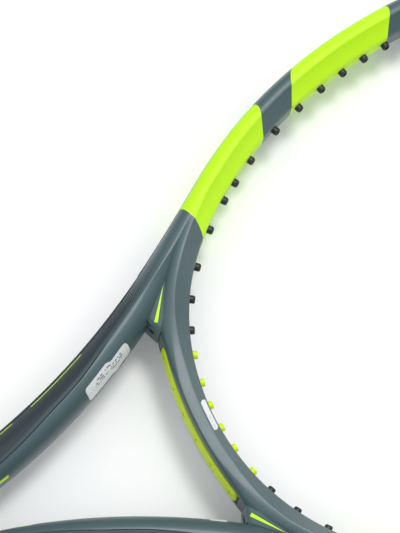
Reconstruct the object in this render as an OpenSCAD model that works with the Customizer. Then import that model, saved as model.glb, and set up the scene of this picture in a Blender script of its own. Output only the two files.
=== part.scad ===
/* [Hoop] */
// Overall length, from the butt face to the outside of the bumper
overall_length = 686.3; // [684:0.1:688]
// Half of the hoop opening's width
hoop_rx = 120.4; // [119:0.1:122]
// Half of the hoop opening's length
hoop_ry = 170.6; // [169:0.1:172]
// Width of the hoop tube, measured in the string plane
hoop_w = 12.6; // [12:0.1:13.2]
// Beam (thickness across the string plane) at the tip of the hoop
tip_beam = 23; // [22:0.5:24]
// Beam of the widest part, from the sides of the hoop to the throat
mid_beam = 26; // [25:0.5:27]

/* [Throat] */
// Width of each shaft, measured in the string plane
shaft_w = 17; // [16:0.1:17.6]
// Beam of the shafts
shaft_beam = 23; // [22:0.5:24]
// Width of the yoke at its middle, outwards from the hoop's oval
yoke_w = 8; // [7.8:0.1:8.6]
// Beam of the yoke
yoke_beam = 19; // [18:0.5:21]

/* [Handle] */
// Half width of the handle pallet
pallet_x = 15; // [14.8:0.1:15.2]
// Half thickness of the handle pallet
pallet_z = 13; // [12.8:0.1:13.2]
// Thickness of the wrapped base grip
grip_t = 1.9; // [1.6:0.1:2.1]
// Where the wrapped grip ends, measured from the butt
grip_top = 186; // [184:1:187]

/* [Strings] */
// Outside diameter of a grommet barrel
barrel_d = 3.7; // [3.5:0.1:3.8]
// Diameter of the string hole in a barrel
string_hole_d = 2.2; // [1.8:0.1:2.4]
// How far a barrel stands out of the hoop's inner edge
barrel_out = 2.3; // [2:0.1:3.2]

/* [Hidden] */
$fn = 48;

slate = [0.30, 0.38, 0.40];
lime = [0.72, 1.0, 0.0];
black = [0.08, 0.08, 0.09];
silver = [0.78, 0.80, 0.84];

wall = 1.5;
bumper_t = 1.2;
hoop_cy = overall_length - bumper_t - hoop_w - hoop_ry;

// The channel that the grommet strips sit in, on the outside of the tube
channel_d = 1.6;
channel_h = 3.6;
strip_gap = 0.08;

// Where the hoop's oval hands over to the shaft's curve, and the shaft's curve itself
oval_end = -45;
oval_step = 3;
shaft_steps = 14;
shaft_x = 6.25;
shaft_y = 150;
upper_pull = 56;
lower_pull = 124.7;
tube_end_y = 9;
tube_w_in_handle = 12;
tube_beam_in_handle = 18.6;

// The eight main strings of one side, from the middle outwards
main_x = [5.3, 15.5, 27.4, 37.4, 49.2, 60.8, 73.4, 88];
// The nineteen cross strings: the middle one, their spacing there, and how it opens towards each end
cross_mid = 506.2;
cross_pitch = 11.1;
cross_below = 10;
cross_above = 8;
open_below = 0.000173;
open_above = 0.055;

function unit(v) = v / norm(v);
function mix(a, b, t) = a + (b - a) * t;
function ease(t) = let (c = min(1, max(0, t))) c * c * (3 - 2 * c);

// The hoop opening's edge at angle t, and the way out of the hoop there
function oval(t) = [hoop_rx * cos(t), hoop_cy + hoop_ry * sin(t)];
function outward(t) = unit([cos(t) / hoop_rx, sin(t) / hoop_ry]);
function oval_mid(t) = oval(t) + outward(t) * hoop_w / 2;

// The shaft's middle line, a cubic curve from the end of the oval to the handle
shaft_p0 = oval_mid(oval_end);
shaft_p1 = shaft_p0 + upper_pull * [outward(oval_end)[1], -outward(oval_end)[0]];
shaft_p3 = [shaft_x, shaft_y];
shaft_p2 = shaft_p3 + [0, lower_pull];
function shaft_at(t) = pow(1 - t, 3) * shaft_p0 + 3 * pow(1 - t, 2) * t * shaft_p1
                     + 3 * (1 - t) * t * t * shaft_p2 + pow(t, 3) * shaft_p3;
function shaft_slope(t) = unit(pow(1 - t, 2) * (shaft_p1 - shaft_p0) + 2 * (1 - t) * t * (shaft_p2 - shaft_p1)
                     + t * t * (shaft_p3 - shaft_p2));
function shaft_out(t) = [-shaft_slope(t)[1], shaft_slope(t)[0]];

// A station is [middle, way out, half width, half beam, channel depth, roundness], from the tip to the butt
function oval_station(t) = let (grow = ease((90 - t) / 70))
    [oval_mid(t), outward(t), hoop_w / 2, mix(tip_beam, mid_beam, grow) / 2, channel_d, 0];
function shaft_station(t) = let (
        p = shaft_at(t),
        wide = mix(hoop_w, shaft_w, ease(t / 0.7)),
        deep = mix(mid_beam, shaft_beam, ease(t / 0.6)),
        grip = ease((250 - p[1]) / 90))
    [p, shaft_out(t), mix(wide, tube_w_in_handle, grip) / 2, mix(deep, tube_beam_in_handle, grip) / 2,
     channel_d * ease((0.43 - t) / 0.07), ease(t / 0.4)];
handle_station = [[shaft_x, tube_end_y], [1, 0], tube_w_in_handle / 2, tube_beam_in_handle / 2, 0, 1];
oval_stations = [for (t = [90:-oval_step:oval_end]) oval_station(t)];
shaft_stations = [for (i = [1:shaft_steps]) shaft_station(i / shaft_steps)];
stations = concat(oval_stations, shaft_stations, [handle_station]);
last = len(stations) - 1;
function mirrored(s) = [[-s[0][0], s[0][1]], [-s[1][0], s[1][1]], s[2], s[3], s[4], s[5]];
both_sides = concat([for (i = [last:-1:1]) mirrored(stations[i])], stations);

// The tube's outline across its length: [out of the hoop, up], from the channel round the front to the back
// The hoop has its crest outside the middle and a flat slope inside it, and the shaft is rounder
hoop_half = [[0.95, 0.45], [0.68, 0.82], [0.32, 1], [0.02, 0.98], [-0.94, 0.40], [-1, 0.22]];
shaft_half = [[0.94, 0.44], [0.68, 0.80], [0.30, 1], [-0.36, 0.89], [-0.78, 0.60], [-1, 0.16]];
function half_outline(a, b, round) = [for (i = [0:5]) let (q = mix(hoop_half[i], shaft_half[i], round))
    [a * q[0], b * q[1]]];
function closed(upper) = concat(upper, [for (i = [len(upper) - 1:-1:0]) [upper[i][0], -upper[i][1]]]);
function tube_outline(s) = let (a = s[2], b = s[3], d = s[4])
    closed(concat([[d > 0 ? a - d : a + crown, channel_h], [a, channel_h + 0.4]], half_outline(a, b, s[5])));
function bore_outline(s) = let (a = s[2] - wall, b = s[3] - wall)
    closed([[a - s[4], 0.36 * b], [0.55 * a, 0.84 * b], [-0.1 * a, 0.86 * b], [-a, 0.2 * b]]);

// Where there is no channel the outer side is crowned very slightly instead
crown = 0.06;

// A ring of points round a station
function ring(s, outline) = [for (q = outline) [s[0][0] + s[1][0] * q[0], s[0][1] + s[1][1] * q[0], q[1]]];
function skin_faces(rings, n, first = 0) = [for (i = [0:rings - 2]) for (j = [0:n - 1])
    let (k = (j + 1) % n, p = first + i * n, q = p + n) [p + j, q + j, q + k, p + k]];
function turned(face) = [for (i = [len(face) - 1:-1:0]) face[i]];

// A closed solid through a list of rings
module sweep(rings) {
    n = len(rings[0]);
    count = len(rings);
    start_cap = [for (j = [0:n - 1]) j];
    end_cap = [for (j = [n - 1:-1:0]) (count - 1) * n + j];
    polyhedron([for (r = rings) each r], concat([start_cap, end_cap], skin_faces(count, n)));
}

// A tube open at both ends: its bore has half as many points round it as its skin
module hollow_sweep(rings, bores) {
    n = len(rings[0]);
    m = len(bores[0]);
    count = len(rings);
    bore_at = n * count;
    function cap(r) = [for (k = [0:m - 1]) each let (
            o = r * n,
            b = bore_at + r * m,
            next = (k + 1) % m)
        [[o + 2 * k, o + 2 * k + 1, b + k], [o + 2 * k + 1, b + next, b + k],
         [o + 2 * k + 1, o + (2 * k + 2) % n, b + next]]];
    polyhedron(concat([for (r = rings) each r], [for (b = bores) each b]),
        concat(skin_faces(count, n), [for (f = skin_faces(count, m, bore_at)) turned(f)],
            cap(0), [for (f = cap(count - 1)) turned(f)]));
}

// Work at the hoop's inner edge, with +Z out of the hoop
module at_hole(t) {
    translate([oval(t)[0], oval(t)[1], 0])
        rotate([0, 0, atan2(outward(t)[1], outward(t)[0])])
            rotate([0, 90, 0]) children();
}

// The strings' angles round the oval, and how deep each barrel goes
function cross_y(i) = cross_mid + cross_pitch * i + (i < 0 ? open_below * pow(i, 5) : open_above * pow(i, 3));
cross_t = [for (i = [-cross_below:cross_above]) asin((cross_y(i) - hoop_cy) / hoop_ry)];
throat_t = [for (x = main_x) -acos(x / hoop_rx)];
tip_t = [for (x = main_x) acos(x / hoop_rx)];
bumper_end = 36;
plate_depth = hoop_w - 0.7;
yoke_mains = 3;
corner_depth = 13.9;
outer_depth = [23.8, 17.1, 13, 11.9];
through = 34;

long_holes = [for (i = [0:3]) [throat_t[4 + i], outer_depth[i]]];
side_holes = concat([for (t = cross_t) if (t < bumper_end) [t, plate_depth]],
                    long_holes);
tip_holes = concat([for (t = cross_t) if (t >= bumper_end) [t, plate_depth]],
                   [for (t = tip_t) [t, plate_depth]]);
yoke_holes = [for (i = [0:yoke_mains - 1]) [throat_t[i], yoke_w_at(throat_t[i]) - 0.8]];
corner_holes = [[throat_t[3], corner_depth]];

function both(holes) = concat(holes, [for (h = holes) [180 - h[0], h[1]]]);

module drilled(holes, d, from = -6, to = through) {
    difference() {
        children();
        for (h = holes) at_hole(h[0]) translate([0, 0, from]) cylinder(d = d, h = to - from);
    }
}

module barrels(holes) {
    for (h = holes) let (out = barrel_out + yoke_in(h[0]))
        at_hole(h[0]) translate([0, 0, -out]) cylinder(d = barrel_d, h = out + h[1]);
}

tube_clearance = 0.3;

module hairpin_tube() {
    color(slate)
        drilled(both(concat(side_holes, tip_holes)), barrel_d + tube_clearance, -4)
            drilled(both(corner_holes), barrel_d + tube_clearance, 8, 17)
                hollow_sweep([for (s = both_sides) ring(s, tube_outline(s))],
                             [for (s = both_sides) ring(s, bore_outline(s))]);
}

// The yoke closes the oval across the throat, and its inner edge stands a little inside the oval.
// Its far side has a seat for the throat grommet strip
seat_end = 15;
seat_d = 1.2;
seat_h = 5;
yoke_end = 39;
yoke_step = 1.9;
function off_yoke(t) = abs((t + 270) % 360 - 180);
function yoke_in(t) = yoke_step * (1 - ease((off_yoke(t) - 3) / 27));
function yoke_w_at(t) = min(hoop_w, yoke_w + 2.6 * pow(off_yoke(t) / 15, 2));
function yoke_station(t) = let (w = yoke_w_at(t), step = yoke_in(t))
    [oval(t) + outward(t) * (w - step) / 2, outward(t), (w + step) / 2, yoke_beam / 2,
     off_yoke(t) <= seat_end ? seat_d : 0];
function yoke_outline(s) = let (a = s[2], b = s[3], d = s[4])
    closed([[d > 0 ? a - d : a + crown, seat_h - 0.1], [a - (d > 0 ? 0.35 : 0), seat_h + 0.1],
            [0.74 * a, 0.68 * b], [0.22 * a, b], [-0.18 * a, 0.97 * b], [-0.93 * a, 0.45 * b], [-a, 0.3 * b]]);

web = [[36, 334], [50, 343.5], [61, 351], [64, 346], [56, 333], [52, 322], [45.3, 325.3], [39.6, 327.6],
       [36.5, 327.6]];
web_h = 17;

module tube_envelope() {
    near = [for (s = stations) if (s[0][1] < 420 && s[0][1] > 270)
        [s[0], s[1], s[2] + 0.05, s[3] + 0.05, 0, s[5]]];
    sweep([for (s = near) ring(s, tube_outline(s))]);
}

module throat_yoke() {
    color(slate)
        drilled(both(concat(yoke_holes, corner_holes, long_holes)), barrel_d + tube_clearance, -4)
            difference() {
                union() {
                    sweep([for (t = [-90 + yoke_end:-oval_step:-90 - yoke_end]) ring(yoke_station(t),
                        yoke_outline(yoke_station(t)))]);
                    for (side = [0, 1]) mirror([side, 0, 0])
                        translate([0, 0, -web_h / 2]) linear_extrude(web_h) polygon(web);
                }
                tube_envelope();
                mirror([1, 0, 0]) tube_envelope();
            }
}

// A flat strip in the channel of the tube, on the stations from one index to another
strip_from = (90 - bumper_end) / oval_step + 1;
strip_to = len(oval_stations) + 4;
function plate_outline(s) = let (out = s[2] - 0.1, in = s[2] - channel_d + strip_gap, h = channel_h - 0.25)
    [[out, -h], [out, h], [in, h], [in, -h]];

module grommet_strip() {
    color(black)
        drilled(side_holes, string_hole_d)
            union() {
                sweep([for (i = [strip_from:strip_to]) ring(stations[i], plate_outline(stations[i]))]);
                barrels(side_holes);
            }
}

// The guard wraps the outside of the tip, and its rib fills the channel there
function guard_outline(s) = let (a = s[2], b = s[3], lip = channel_h + 0.4)
    [[0.90 * a + 1.0, -0.60 * b - 0.6], [a + bumper_t, -0.3 * b], [a + bumper_t, 0.3 * b],
     [0.90 * a + 1.0, 0.60 * b + 0.6], [0.90 * a + 0.12, 0.60 * b + 0.1], [a + 0.1, lip],
     [a - channel_d + strip_gap, lip - 0.6], [a - channel_d + strip_gap, -lip + 0.6], [a + 0.1, -lip],
     [0.90 * a + 0.12, -0.60 * b - 0.1]];

module bumper_guard() {
    half = [for (i = [0:strip_from - 1]) stations[i]];
    whole = concat([for (i = [strip_from - 1:-1:1]) mirrored(half[i])], half);
    color(black)
        drilled(both(tip_holes), string_hole_d)
            union() {
                sweep([for (s = whole) ring(s, guard_outline(s))]);
                barrels(both(tip_holes));
            }
}

// The throat strip sits in the yoke's seat, and stands a little proud of it
strip_proud = 0.7;
module throat_grommet_strip() {
    function strip_ring(t) = let (s = yoke_station(t), out = s[2] + strip_proud, in = s[2] - seat_d + strip_gap)
        ring(s, [[out - 0.9, -seat_h + 0.3], [out, -seat_h + 2.2], [out, seat_h - 2.2], [out - 0.9, seat_h - 0.3],
                 [in, seat_h - 0.3], [in, -seat_h + 0.3]]);
    color(lime)
        drilled(both(yoke_holes), string_hole_d)
            union() {
                sweep([for (t = [seat_end - 0.3, each [seat_end - oval_step:-oval_step:oval_step - seat_end],
                    0.3 - seat_end]) strip_ring(t - 90)]);
                barrels(both(yoke_holes));
            }
}

// The fourth main string of each side has a long grommet of its own, through the corner of the throat
module corner_grommet() {
    color(black)
        drilled(corner_holes, string_hole_d)
            barrels(corner_holes);
}

// The handle's eight-sided outline, standing on the butt face and running along +Y
function bevelled(x, z, k)
    = [[x, -z + k], [x, z - k], [x - k, z], [-x + k, z], [-x, z - k], [-x, -z + k], [-x + k, -z], [x - k, -z]];
module bar(x, z, from, to, bevel = 0.45) {
    translate([0, to, 0]) rotate([90, 0, 0]) linear_extrude(to - from) polygon(bevelled(x, z, bevel * z));
}

pallet_from = 8;
pallet_to = 180;
skirt_to = 32;
skirt_t = 0.9;
pocket_x = 12.7;
pocket_z = 9.7;
staple_y = 25;
staple_x = 4;

// The tube spreads as it leaves the handle, so the pallet's pocket opens there
module tube_pocket() {
    bar(pocket_x, pocket_z, 0, 150, 0.3);
    hull() {
        bar(pocket_x, pocket_z, 149.9, 150, 0.3);
        bar(14.6, 9.9, pallet_to + 1, pallet_to + 1.1, 0.3);
    }
}

module pallet_half() {
    difference() {
        union() {
            bar(pallet_x - skirt_t - 0.05, pallet_z - skirt_t - 0.05, pallet_from, skirt_to + 0.1);
            bar(pallet_x, pallet_z, skirt_to + 0.1, pallet_to);
        }
        tube_pocket();
        translate([-30, 0, -59.95]) cube([60, 300, 60]);
        for (x = [-staple_x, staple_x]) translate([x, staple_y, pallet_z - 6]) cylinder(d = 1.1, h = 8);
    }
}

module front_pallet() {
    color("dimgray") pallet_half();
}

module rear_pallet() {
    color("gray") mirror([0, 0, 1]) pallet_half();
}

heel_y = 16;
door_x = 12.6;
door_z = 10.8;
door_t = 1.4;
door_skirt = 4;

module butt_cap() {
    grip_x = pallet_x + grip_t;
    grip_z = pallet_z + grip_t;
    color(black) difference() {
        union() {
            bar(grip_x + 2.2, grip_z + 2.2, 0, 1);
            hull() {
                bar(grip_x + 2.2, grip_z + 2.2, 0.9, 1);
                bar(grip_x + 3, grip_z + 3, 3, 6);
                bar(grip_x + 2.2, grip_z + 2.2, 9, 9.5);
                bar(grip_x + 0.4, grip_z + 0.4, heel_y - 0.5, heel_y);
            }
            bar(pallet_x, pallet_z, heel_y - 0.5, skirt_to);
        }
        bar(pallet_x - skirt_t, pallet_z - skirt_t, 2.6, skirt_to + 1);
        bar(door_x + 0.15, door_z + 0.15, -1, door_t + 0.1);
        bar(door_x - 1.4, door_z - 1.4, -1, 5);
        for (side = [0, 1]) mirror([0, 0, side]) {
            translate([-staple_x - 0.8, staple_y - 0.8, pallet_z - 0.65]) cube([2 * staple_x + 1.6, 1.6, 2]);
            for (x = [-staple_x, staple_x]) translate([x, staple_y, pallet_z - 3]) cylinder(d = 1.1, h = 4);
        }
    }
}

// The door snaps into the cap's end, flush with it, and pulls straight out
module butt_door() {
    color(slate) difference() {
        union() {
            bar(door_x, door_z, 0, door_t);
            difference() {
                bar(door_x - 1.55, door_z - 1.55, door_t - 0.1, door_t + door_skirt);
                bar(door_x - 2.8, door_z - 2.8, door_t, door_t + door_skirt + 1);
            }
        }
        translate([0, -0.6, door_z + 1]) rotate([-90, 0, 0]) cylinder(r = 2.6, h = 1.2);
    }
}

module butt_staples() {
    color(silver) for (side = [0, 1]) mirror([0, 0, side]) {
        translate([-staple_x - 0.4, staple_y - 0.4, pallet_z - 0.6]) cube([2 * staple_x + 0.8, 0.8, 0.5]);
        for (x = [-staple_x, staple_x]) translate([x, staple_y, pallet_z - 3.1]) cylinder(d = 0.8, h = 2.9);
    }
}

// A silicone plug in the end of each leg of the tube sets the balance
module balance_plugs() {
    color("silver") for (side = [-1, 1]) translate([side * shaft_x, tube_end_y + 3, 0])
        rotate([-90, 0, 0]) cylinder(r = 4.1, h = 45);
}

module base_grip() {
    color(black) difference() {
        bar(pallet_x + grip_t, pallet_z + grip_t, heel_y + 0.1, grip_top);
        bar(pallet_x + 0.08, pallet_z + 0.08, heel_y - 1, grip_top + 1);
    }
}

tape_t = 0.3;
tape_w = 12;
module finishing_tape() {
    x = pallet_x + grip_t + 0.06;
    z = pallet_z + grip_t + 0.06;
    color("dimgray") difference() {
        bar(x + tape_t, z + tape_t, grip_top - tape_w, grip_top);
        bar(x, z, grip_top - tape_w - 1, grip_top + 1);
    }
}

collar_from = grip_top - 6;
collar_to = grip_top + 9;
collar_t = 1.4;
module grip_collar() {
    x = pallet_x + grip_t + tape_t + 0.25;
    z = pallet_z + grip_t + tape_t + 0.25;
    color(black) difference() {
        union() {
            bar(x + collar_t, z + collar_t, collar_from, collar_from + 3);
            bar(x + collar_t - 0.5, z + collar_t - 0.5, collar_from + 2.9, collar_to - 2);
            bar(x + collar_t, z + collar_t, collar_to - 2.1, collar_to);
        }
        bar(x, z, collar_from - 1, collar_to + 1);
    }
}

// A label lies just over the skin between a list of stations. Its face is given in half widths and half beams
label_gap = 0.12;
label_t = 0.2;
module skin_label(list, face) {
    function on_skin(s, q, d) = let (p = [q[0] * s[2], q[1] * s[3]]) p + d * unit([q[0], q[1] * 0.8]);
    sweep([for (s = list) ring(s, concat([for (q = face) on_skin(s, q, label_gap + label_t)],
        [for (i = [len(face) - 1:-1:0]) on_skin(s, face[i], label_gap)]))]);
}

module spec_label() {
    color(silver) mirror([1, 0, 0])
        skin_label([for (t = [0.412:0.02:0.532]) shaft_station(t)], [[-0.60, 0.724], [-0.78, 0.60], [-0.91, 0.34]]);
}

module shaft_label() {
    color(silver) skin_label([for (t = [0.395, 0.425]) shaft_station(t)], [[-0.88, 0.400], [-0.96, 0.240]]);
}

module yoke_label() {
    color(silver) skin_label([yoke_station(-88.4), yoke_station(-90.4), yoke_station(-92.5)],
        [[-0.35, 0.852], [-0.75, 0.575]]);
}

hairpin_tube();
throat_yoke();
bumper_guard();
mirror([1, 0, 0]) grommet_strip();  // left_grommet_strip
grommet_strip();  // right_grommet_strip
throat_grommet_strip();
mirror([1, 0, 0]) corner_grommet();  // left_corner_grommet
corner_grommet();  // right_corner_grommet
front_pallet();
rear_pallet();
butt_cap();
butt_door();
butt_staples();
balance_plugs();
base_grip();
finishing_tape();
grip_collar();
spec_label();
shaft_label();
yoke_label();
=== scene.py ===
"""The looks of an unstrung tennis racket frame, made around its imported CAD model."""

import math

import bmesh
import bpy
import numpy as np
from mathutils import Matrix, Vector


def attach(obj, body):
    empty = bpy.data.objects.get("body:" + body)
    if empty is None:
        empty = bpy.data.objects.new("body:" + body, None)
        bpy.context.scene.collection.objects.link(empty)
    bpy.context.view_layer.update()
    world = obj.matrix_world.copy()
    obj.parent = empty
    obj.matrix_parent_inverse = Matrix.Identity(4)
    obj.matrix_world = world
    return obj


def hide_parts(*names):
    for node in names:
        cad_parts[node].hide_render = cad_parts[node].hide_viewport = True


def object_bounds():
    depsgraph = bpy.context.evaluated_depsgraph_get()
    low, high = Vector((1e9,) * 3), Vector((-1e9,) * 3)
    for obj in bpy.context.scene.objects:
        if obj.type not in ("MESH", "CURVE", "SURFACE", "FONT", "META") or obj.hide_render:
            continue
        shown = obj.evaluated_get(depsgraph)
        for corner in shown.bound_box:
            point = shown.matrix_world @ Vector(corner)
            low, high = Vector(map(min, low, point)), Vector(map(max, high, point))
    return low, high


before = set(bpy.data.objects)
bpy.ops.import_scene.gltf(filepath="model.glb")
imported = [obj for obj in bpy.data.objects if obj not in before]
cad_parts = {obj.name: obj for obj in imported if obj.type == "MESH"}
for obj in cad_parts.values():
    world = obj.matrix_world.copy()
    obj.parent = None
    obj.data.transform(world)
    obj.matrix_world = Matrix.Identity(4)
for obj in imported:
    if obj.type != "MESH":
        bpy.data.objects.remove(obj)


def box_now():
    low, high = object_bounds()
    return [[float(c) for c in low], [float(c) for c in high]]


cad_box = box_now()

# ---------------------------------------------------------------- sizes, in millimetres, as in part.scad
HOOP_RX, HOOP_RY, HOOP_W = 120.4, 170.6, 12.6
BUMPER_T = 1.2
HOOP_CY = cad_box[1][1] * 1000 - BUMPER_T - HOOP_W - HOOP_RY
TIP_BEAM, MID_BEAM = 23, 26
SHAFT_W, SHAFT_BEAM = 17, 23
YOKE_W, YOKE_STEP, YOKE_END = 8, 1.9, 41
CHANNEL_D, CHANNEL_H = 1.6, 3.6
OVAL_END, SHAFT_X, SHAFT_Y, UPPER_PULL, LOWER_PULL, TUBE_END = -45, 6.25, 150, 56, 124.7, 9
BARREL_D, HOLE_D, BARREL_OUT = 3.45, 2.2, 2.3
BUMPER_END = 36
MAIN_X = (5.3, 15.5, 27.4, 37.4, 49.2, 60.8, 73.4, 88)
OUTER_DEPTH = (23.8, 17.1, 13, 11.9)
CORNER_DEPTH = 13.9
GRIP_X, GRIP_Z, GRIP_TOP = 16.9, 14.9, 186
HANDLE_W, HANDLE_BEAM = 12, 18.6
# How far out from the tube's middle the inner edge of its crest lies, by the place along the shaft's curve
HOOP_CREST, HANDLE_CREST = -0.3, -3.3
CREST_AT = (0, 0.22, 0.36, 0.44, 0.52, 0.6, 0.66, 0.72, 1)
CREST_OUT = (HOOP_CREST, 0.4, 1.2, 0.9, -0.6, -1.1, -2.3, HANDLE_CREST, HANDLE_CREST)
SHAFT_TURN, HANDLE_TURN = 60, 20


def ease(x):
    c = np.clip(x, 0, 1)
    return c * c * (3 - 2 * c)


def mix(a, b, t):
    return a + (b - a) * t


def unit(v):
    return v / np.linalg.norm(v, axis=-1, keepdims=True)


def oval(t):
    t = np.radians(t)
    return np.stack([HOOP_RX * np.cos(t), HOOP_CY + HOOP_RY * np.sin(t)], -1)


def outward(t):
    t = np.radians(t)
    return unit(np.stack([np.cos(t) / HOOP_RX, np.sin(t) / HOOP_RY], -1))


P0 = oval(OVAL_END) + outward(OVAL_END) * HOOP_W / 2
P1 = P0 + UPPER_PULL * np.array([outward(OVAL_END)[1], -outward(OVAL_END)[0]])
P3 = np.array([SHAFT_X, SHAFT_Y])
P2 = P3 + [0, LOWER_PULL]


def shaft_at(t):
    t = np.asarray(t, float)[..., None]
    return (1 - t) ** 3 * P0 + 3 * (1 - t) ** 2 * t * P1 + 3 * (1 - t) * t * t * P2 + t**3 * P3


def shaft_out(t):
    t = np.asarray(t, float)[..., None]
    s = unit((1 - t) ** 2 * (P1 - P0) + 2 * (1 - t) * t * (P2 - P1) + t * t * (P3 - P2))
    return np.stack([-s[..., 1], s[..., 0]], -1)


# ---------------------------------------------------------------- the hairpin's stations, tip to butt
class Stations:
    """Middle, way out, half width, half beam, channel depth, roundness, crest edge, crease and turn."""

    def __init__(self, oval_step=0.75, shaft_steps=120, handle_steps=24):
        t = np.arange(90, OVAL_END - 1e-6, -oval_step)
        b = np.arange(1, shaft_steps + 1) / shaft_steps
        h = np.arange(1, handle_steps + 1) / handle_steps
        nt, nb, nh = len(t), len(b), len(h)
        self.mid = np.concatenate([oval(t) + outward(t) * HOOP_W / 2, shaft_at(b),
                                   np.stack([np.full(nh, SHAFT_X), mix(SHAFT_Y, TUBE_END, h)], -1)])
        self.out = np.concatenate([outward(t), shaft_out(b), np.tile([1.0, 0.0], (nh, 1))])
        y = self.mid[nt:nt + nb, 1]
        grip = ease((250 - y) / 90)
        wide = mix(mix(HOOP_W, SHAFT_W, ease(b / 0.7)), HANDLE_W, grip)
        deep = mix(mix(MID_BEAM, SHAFT_BEAM, ease(b / 0.6)), HANDLE_BEAM, grip)
        on_hoop = mix(TIP_BEAM, MID_BEAM, ease((90 - t) / 70))
        self.a = np.concatenate([np.full(nt, HOOP_W), wide, np.full(nh, float(HANDLE_W))]) / 2
        self.b = np.concatenate([on_hoop, deep, np.full(nh, HANDLE_BEAM)]) / 2
        self.d = np.concatenate([np.full(nt, CHANNEL_D), CHANNEL_D * ease((0.43 - b) / 0.07), np.zeros(nh)])
        self.round = np.concatenate([np.zeros(nt), ease((b - 0.1) / 0.3), np.ones(nh)])
        crest = np.interp(b, CREST_AT, CREST_OUT)
        self.crest = np.concatenate([np.full(nt, HOOP_CREST), crest, np.full(nh, HANDLE_CREST)])
        crease = ease((b - 0.40) / 0.08) * ease((0.84 - b) / 0.1)
        self.crease = np.concatenate([np.zeros(nt), crease, np.zeros(nh)])
        end = OVAL_END - SHAFT_TURN
        self.turn = np.concatenate([t, OVAL_END - SHAFT_TURN * b, end - HANDLE_TURN * h])
        self.n = nt + nb + nh

    def take(self, keep):
        """Only some of the stations."""
        s = object.__new__(Stations)
        for k, v in self.__dict__.items():
            s.__dict__[k] = v[keep] if isinstance(v, np.ndarray) else v
        s.n = len(s.mid)
        return s


def shaft_stations(t):
    """Stations at given places along the shaft's curve only."""
    dense = Stations(oval_step=3, shaft_steps=400)
    at = np.array([np.argmin(abs(dense.turn - (OVAL_END - SHAFT_TURN * q))) for q in t])
    return dense.take(at)


# The shaft's rounded outline above its middle plane: two superellipse quarters that meet at its top
PHI = np.radians(np.linspace(0, 90, 241))
SHAFT_TOP, OUTER_POWER, INNER_POWER = 0.05, 2 / 1.8, 2 / 2.15
SHAFT_CURVE = np.concatenate([
    np.stack([(1 - SHAFT_TOP) * np.cos(PHI) ** OUTER_POWER + SHAFT_TOP, np.sin(PHI) ** OUTER_POWER], -1),
    np.stack([SHAFT_TOP - (1 + SHAFT_TOP) * np.cos(PHI[::-1]) ** INNER_POWER,
              np.sin(PHI[::-1]) ** INNER_POWER], -1)[1:]])
SHAFT_ANGLE = np.arctan2(SHAFT_CURVE[:, 1], SHAFT_CURVE[:, 0])
SHAFT_RADIUS = np.hypot(SHAFT_CURVE[:, 0], SHAFT_CURVE[:, 1])


LIP_TOP = 4.6
CREASE_POINT = 16


def upper(s):
    """The upper half of each station's outline, from the outer lip over the crest to the inner side."""
    a, b, uc = s.a[:, None], s.b[:, None], s.crest[:, None]
    phi = np.radians(np.linspace(0, 90, 13))[None]
    outer = [mix(0.2 * a, a, np.cos(phi) ** 0.9), LIP_TOP + (b - LIP_TOP) * np.sin(phi) ** 0.9]
    land = [mix(0.2 * a, uc, np.array([[0.4, 0.8]])), b * np.array([[0.9985, 0.990]])]
    edge = [uc + np.array([[0.24, 0.0, -0.24]]), b * 0.985 + np.array([[0.0, -0.04, -0.24]])]
    f = np.linspace(0.08, 1, 9)[None]
    slope = [mix(uc - 0.24, -0.93 * a, f), mix(0.985 * b - 0.24, 0.40 * b, f)]
    side = [-a * np.array([[0.965, 0.988, 1, 1]]), b * np.array([[0.325, 0.24, 0.14, 0]])]
    u = np.concatenate([outer[0], land[0], edge[0], slope[0], side[0]], 1)
    z = np.concatenate([outer[1], land[1], edge[1], slope[1], side[1]], 1)
    at = np.arctan2(z / b, u / a)
    scale = mix(1, np.interp(at, SHAFT_ANGLE, SHAFT_RADIUS) / np.hypot(u / a, z / b), s.round[:, None])
    u, z = u * scale, z * scale
    z[:, CREASE_POINT] -= 0.42 * s.crease
    z[:, CREASE_POINT + 1] -= 0.10 * s.crease
    return u, z


def tube_rings(s):
    u, z = upper(s)
    a, d = s.a[:, None], s.d[:, None]
    lip_u = np.concatenate([a - d, a - d, a - d, a - 0.1, a + 0 * d], 1)
    lip_z = np.tile([[0, 1.8, CHANNEL_H, CHANNEL_H + 0.12, CHANNEL_H + 0.4]], (s.n, 1))
    u, z = np.concatenate([lip_u, u], 1), np.concatenate([lip_z, z], 1)
    u, z = np.concatenate([u, u[:, -2:0:-1]], 1), np.concatenate([z, -z[:, -2:0:-1]], 1)
    return place(s, u, z)


def place(s, u, z):
    """Points (u outwards, z up) of each station, in millimetres."""
    x, y = (s.mid[:, None, k] + s.out[:, None, k] * u for k in (0, 1))
    return np.stack([x, y, z], -1)


def mirror_x(p):
    return p * np.array([-1.0, 1.0, 1.0])


# ---------------------------------------------------------------- meshes
def mesh_of(points, faces):
    m = bpy.data.meshes.new("m")
    m.from_pydata((np.asarray(points, float) / 1000).tolist(), [], [list(map(int, f)) for f in faces])
    m.update()
    return m


def swept(rings, closed=False):
    """A closed solid through rings of points, all with the same count, its faces turned outwards."""
    rings = np.asarray(rings, float)
    count, n = rings.shape[:2]
    i = np.arange(count if closed else count - 1)[:, None] * n
    j = np.arange(n)[None]
    k = (j + 1) % n
    q = (i + n) % (count * n)
    faces = np.stack([i + j, q + j, q + k, i + k], -1).reshape(-1, 4).tolist()
    if not closed:
        faces += [list(range(n)), list(range((count - 1) * n, count * n))[::-1]]
    m = mesh_of(rings.reshape(-1, 3), faces)
    b = bmesh.new()
    b.from_mesh(m)
    bmesh.ops.recalc_face_normals(b, faces=b.faces)
    if b.calc_volume(signed=True) < 0:
        bmesh.ops.reverse_faces(b, faces=b.faces)
    b.to_mesh(m)
    b.free()
    return m


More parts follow.
